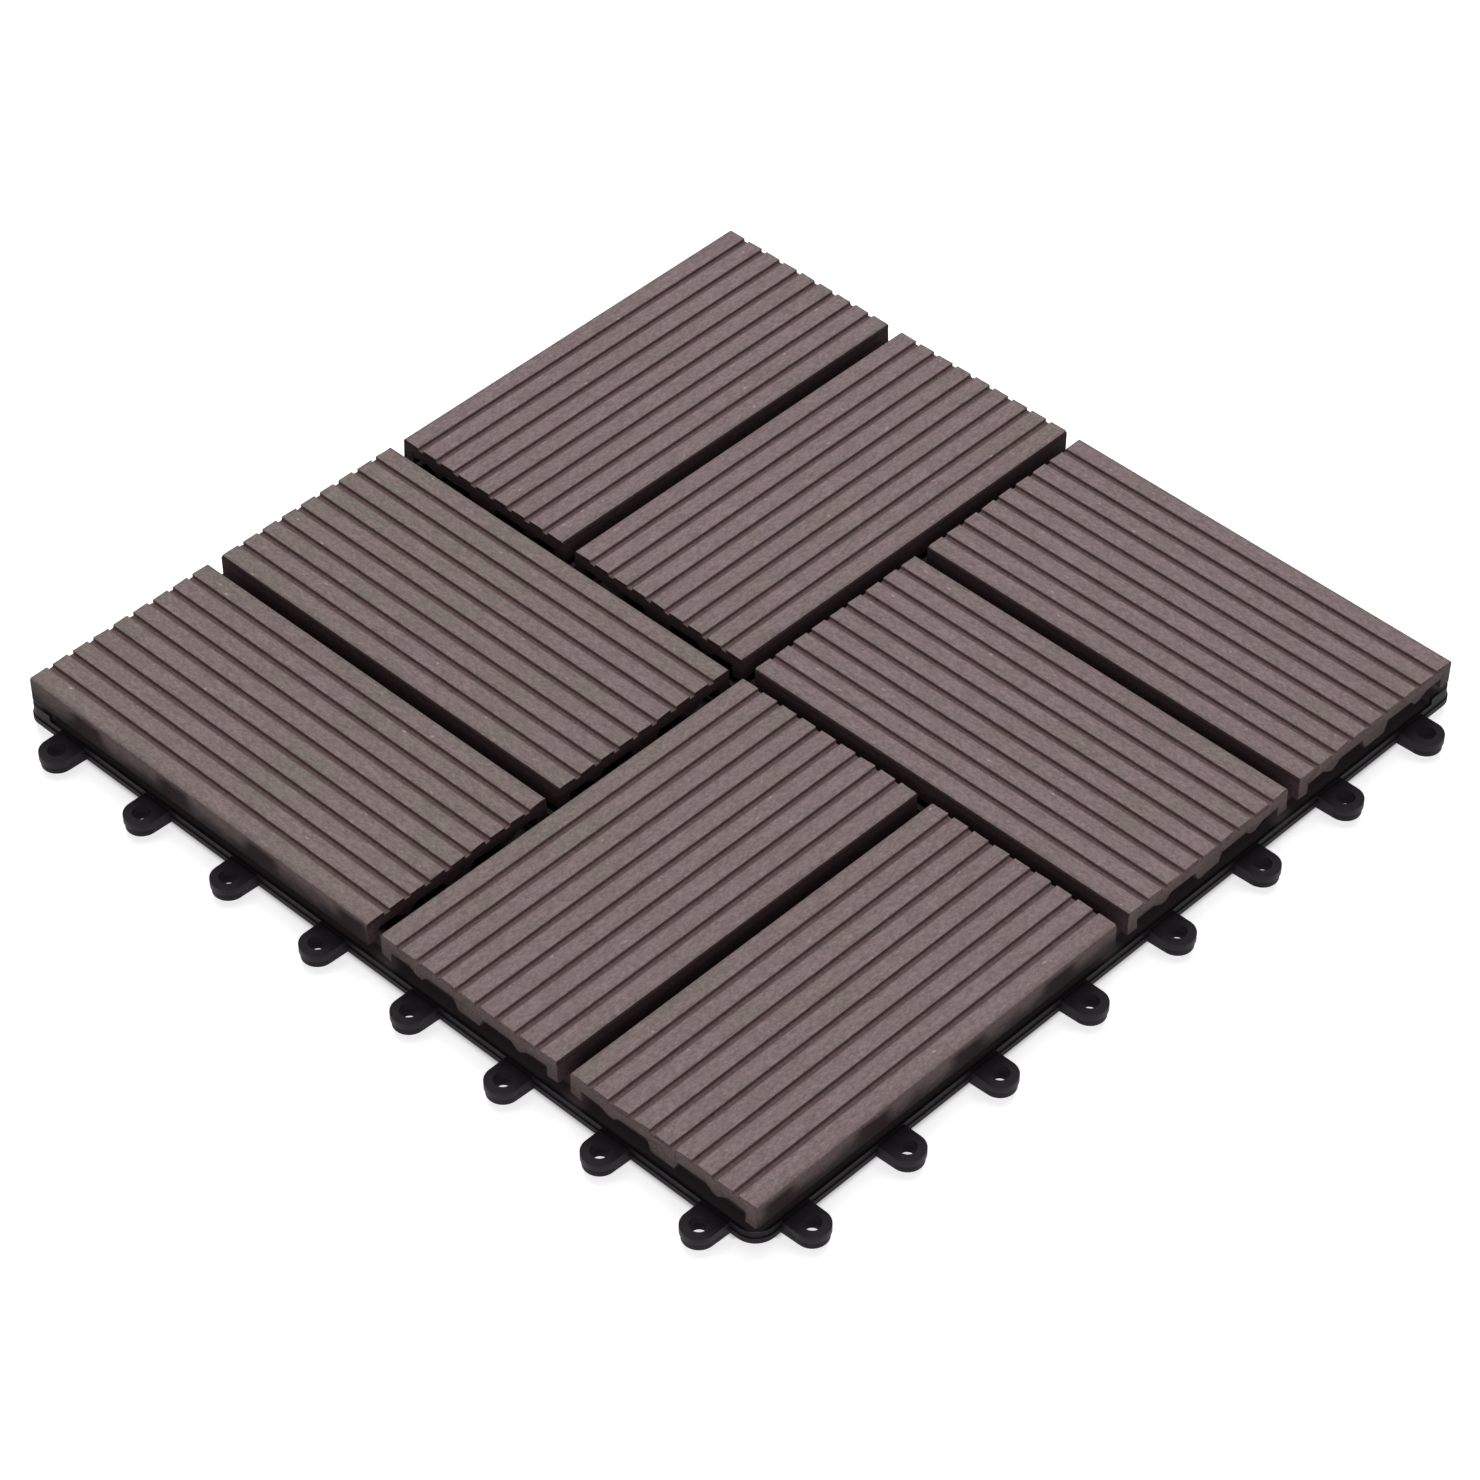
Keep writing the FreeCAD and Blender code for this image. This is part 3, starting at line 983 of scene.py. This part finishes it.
@dataclass
class Screws:
    """The small pan-head screws that hold the boards from below."""

    inner: float = 0.0375
    outer: float = 0.1125
    seat: float = 0.0106
    head_radius: float = 0.0034
    head_height: float = 0.0022
    shank_radius: float = 0.0016
    shank_length: float = 0.0092
    recess_width: float = 0.0009
    recess_length: float = 0.0036
    recess_depth: float = 0.0012
    face_share: float = 0.86
    tip_share: float = 0.4
    rim_bevel: float = 0.0005
    rim_segments: int = 4
    segments: int = 32
    turn_deg: float = 37.0

    def body(self) -> bmesh.types.BMesh:
        """Return one screw without its recess, head down, seated at z = 0."""
        bm = bmesh.new()
        head = bmesh.ops.create_cone(
            bm,
            cap_ends=True,
            segments=self.segments,
            radius1=self.head_radius * self.face_share,
            radius2=self.head_radius,
            depth=self.head_height,
        )
        bmesh.ops.translate(bm, verts=head["verts"], vec=(0, 0, -self.head_height / 2))
        rim = [e for e in bm.edges if all(v.co.z < -self.head_height * 0.9 for v in e.verts)]
        bmesh.ops.bevel(
            bm,
            geom=[e for e in rim if len(e.link_faces) == 2],
            affect="EDGES",
            offset=self.rim_bevel,
            segments=self.rim_segments,
            profile=0.5,
            material=-1,
        )
        shank = bmesh.ops.create_cone(
            bm,
            cap_ends=True,
            segments=self.segments,
            radius1=self.shank_radius,
            radius2=self.shank_radius * self.tip_share,
            depth=self.shank_length,
        )
        bmesh.ops.translate(bm, verts=shank["verts"], vec=(0, 0, self.shank_length / 2))
        return bm

    def recess(self) -> bpy.types.Object:
        """Return the cross-shaped cutter of the driver recess as a loose object."""
        bm = bmesh.new()
        for turn in (0.0, math.pi / 2):
            arm = bmesh.ops.create_cube(bm, size=1.0)
            size = (self.recess_length, self.recess_width, 2 * self.recess_depth)
            bmesh.ops.scale(bm, verts=arm["verts"], vec=size)
            bmesh.ops.rotate(bm, verts=arm["verts"], matrix=Matrix.Rotation(turn, 3, "Z"))
            bmesh.ops.translate(bm, verts=arm["verts"], vec=(0, 0, -self.head_height))
        mesh = bpy.data.meshes.new("recess")
        bm.to_mesh(mesh)
        bm.free()
        cutter = bpy.data.objects.new("recess", mesh)
        bpy.context.scene.collection.objects.link(cutter)
        return cutter

    def pattern(self) -> bpy.types.Mesh:
        """Return the finished mesh of one screw."""
        blank = bpy.data.meshes.new("screw_blank")
        bm = self.body()
        bm.to_mesh(blank)
        bm.free()
        holder = bpy.data.objects.new("screw_blank", blank)
        bpy.context.scene.collection.objects.link(holder)
        cutter = self.recess()
        cut = holder.modifiers.new("recess", "BOOLEAN")
        cut.operation = "DIFFERENCE"
        cut.solver = "EXACT"
        cut.use_self = True
        cut.object = cutter
        bpy.context.view_layer.update()
        graph = bpy.context.evaluated_depsgraph_get()
        made = bpy.data.meshes.new_from_object(holder.evaluated_get(graph))
        for loose in (holder, cutter):
            bpy.data.objects.remove(loose)
        return made

    def build(self) -> list[bpy.types.Object]:
        """Build the sixteen screws, each turned its own way.

        Returns:
            The new objects.
        """
        lines = (-self.outer, -self.inner, self.inner, self.outer)
        finish = ScrewFinish().material()
        pattern = self.pattern()
        pieces = []
        for row, y in enumerate(lines):
            for column, x in enumerate(lines):
                number = 4 * row + column
                bm = bmesh.new()
                bm.from_mesh(pattern)
                turn = Matrix.Rotation(math.radians(self.turn_deg * number), 3, "Z")
                bmesh.ops.rotate(bm, verts=bm.verts, matrix=turn)
                bmesh.ops.translate(bm, verts=bm.verts, vec=(x, y, self.seat))
                mesh = closed_mesh(bm, f"screw_{number + 1}")
                pieces.append(adopt(f"screw_{number + 1}", mesh, finish))
        bpy.data.meshes.remove(pattern)
        LOG.info("screws, %d pieces", len(pieces))
        return pieces


@dataclass
class Studio:
    """Floor, light and camera, set to the photograph's view."""

    azimuth: float = 43.97
    elevation: float = 43.75
    distance: float = 1.4791
    focal_mm: float = 122.3
    sensor_mm: float = 36.0
    clip: tuple[float, float] = (0.05, 50.0)
    target: tuple[float, float, float] = (0.00692, -0.00797, 0.0033)
    floor_size: float = 12.0
    sky: float = 0.3
    key_place: tuple[float, float, float] = (-0.4, 0.45, 1.9)
    key_power: float = 27.0
    key_size: float = 1.6
    fill_place: tuple[float, float, float] = (1.25, -1.15, 0.35)
    fill_power: float = 8.0
    fill_size: float = 1.2

    def camera(self) -> None:
        """Place the camera where the photograph was taken from."""
        az = math.radians(self.azimuth)
        el = math.radians(self.elevation)
        level = math.cos(el)
        back = Vector((math.sin(az) * level, -math.cos(az) * level, math.sin(el)))
        right = Vector((math.cos(az), math.sin(az), 0.0))
        up = back.cross(right)
        lens = bpy.data.cameras.new("photo_view")
        lens.lens = self.focal_mm
        lens.sensor_width = self.sensor_mm
        lens.clip_start, lens.clip_end = self.clip
        eye = bpy.data.objects.new("photo_view", lens)
        turn = Matrix((right, up, back)).transposed().to_4x4()
        eye.matrix_world = Matrix.Translation(Vector(self.target) + back * self.distance) @ turn
        bpy.context.scene.collection.objects.link(eye)
        bpy.context.scene.camera = eye
        LOG.info("camera at %s", [round(c, 4) for c in eye.matrix_world.translation])

    def floor(self) -> None:
        """Lay the white floor."""
        bm = bmesh.new()
        bmesh.ops.create_grid(bm, x_segments=4, y_segments=4, size=self.floor_size / 2)
        mesh = bpy.data.meshes.new("floor")
        bm.to_mesh(mesh)
        bm.free()
        mesh.materials.append(FloorFinish().material())
        ground = bpy.data.objects.new("floor", mesh)
        bpy.context.scene.collection.objects.link(ground)

    def lamp(self, name: str, place: Sequence[float], size: float, power: float) -> None:
        """Hang a square lamp that faces the tile.

        Args:
            name: Name of the lamp.
            place: Where it hangs.
            size: Side of its square.
            power: Its power in watts.
        """
        light = bpy.data.lights.new(name, "AREA")
        light.shape = "SQUARE"
        light.size = size
        light.energy = power
        lamp = bpy.data.objects.new(name, light)
        lamp.location = place
        lamp.rotation_euler = Vector(place).to_track_quat("Z", "Y").to_euler()
        bpy.context.scene.collection.objects.link(lamp)

    def light(self) -> None:
        """Set the even white sky and hang the two soft lamps, one high behind, one low in front."""
        world = bpy.data.worlds.new("white_sky")
        bpy.context.scene.world = world
        sheet = Sheet(world)
        sky = sheet.node("ShaderNodeBackground", {}, {"Color": WHITE, "Strength": self.sky})
        seen = sheet.node("ShaderNodeBackground", {}, {"Color": WHITE, "Strength": 1.0})
        shader = sheet.node("ShaderNodeMixShader", {}, {0: sheet.ray("Camera"), 1: sky, 2: seen})
        sheet.add("ShaderNodeOutputWorld", {}, {"Surface": shader})
        self.lamp("soft_key", self.key_place, self.key_size, self.key_power)
        self.lamp("soft_fill", self.fill_place, self.fill_size, self.fill_power)

    def build(self) -> None:
        """Set up the whole studio."""
        self.camera()
        self.floor()
        self.light()
        bpy.context.scene.view_settings.view_transform = "Standard"


def main() -> None:
    """Build every sub-assembly in order."""
    logging.basicConfig(level=logging.INFO, format="%(name)s: %(message)s")
    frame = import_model()
    Studio().build()
    Base(frame["nodes"]).build()
    Boards(frame["nodes"]).build()
    Screws().build()


if __name__ == "__main__":
    main()
